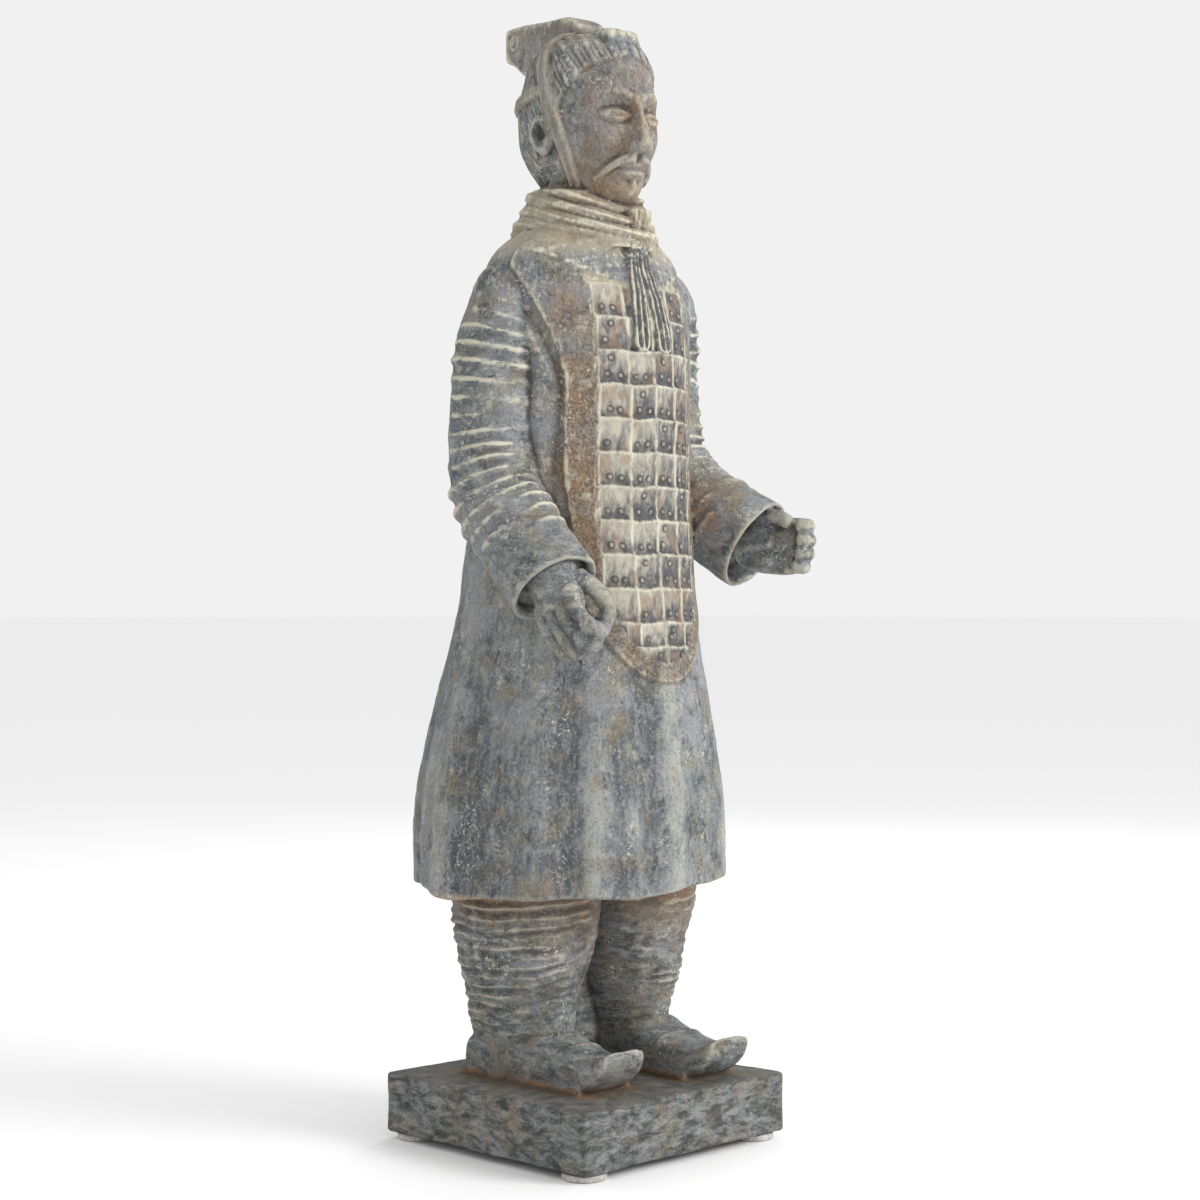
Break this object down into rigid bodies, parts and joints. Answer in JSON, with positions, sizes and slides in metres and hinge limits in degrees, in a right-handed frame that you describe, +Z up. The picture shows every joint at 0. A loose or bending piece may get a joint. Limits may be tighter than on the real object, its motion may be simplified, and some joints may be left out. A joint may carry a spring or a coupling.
{
  "type": "garden statue",
  "caption": "Standing warrior in a knee-length coat with a plated apron and a scarf, one fist lowered and one hand held out, cast in one with its square plinth.",
  "frame": {"origin": "on the floor under the middle of the statue's bounding box, about 7 mm to the figure's left of the plinth's own middle", "axes": "+Z up, the figure looks along -Y, its right hand is towards -X"},
  "size_m": [0.2444, 0.2316, 0.769],
  "materials": {
    "weathered_stone": "matte",
    "pad_rubber": "satin"
  },
  "bodies": {
    "root": {"warrior_and_plinth": "weathered_stone", "pad_front_right": "pad_rubber", "pad_front_left": "pad_rubber", "pad_back_right": "pad_rubber", "pad_back_left": "pad_rubber"}
  },
  "joints": []
}
